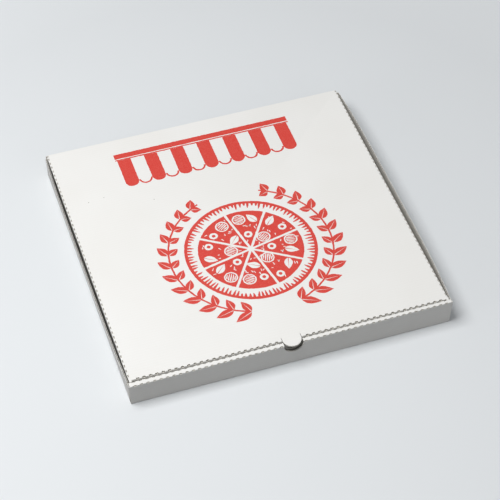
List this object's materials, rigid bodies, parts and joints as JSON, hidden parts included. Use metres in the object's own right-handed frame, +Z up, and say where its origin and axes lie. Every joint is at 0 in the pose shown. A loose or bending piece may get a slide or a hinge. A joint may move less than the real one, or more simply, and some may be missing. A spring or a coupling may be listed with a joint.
{
  "type": "pizza box",
  "caption": "Square folded pizza box of white fluted board: a tray with a roll-over front wall, thumb notch and corner tabs, and a hinged tuck-in lid.",
  "frame": {"origin": "on the table, under the middle of the tray's foot", "axes": "+Z up, +X to the box's right seen from the front, +Y from the front wall to the hinge"},
  "size_m": [0.3381, 0.3336, 0.0302],
  "materials": {
    "tray_board": "matt white liner",
    "lid_board": "matt white liner",
    "print": "matt red ink on white liner"
  },
  "bodies": {
    "tray": {"tray": "tray_board"},
    "lid": {"lid": "lid_board"}
  },
  "joints": [
    {"name": "lid_hinge", "type": "hinge", "parent": "tray", "child": "lid", "pos_m": [0, 0.16425, 0.02835], "axis": [-1, 0, 0], "range_deg": [0, 184]}
  ]
}
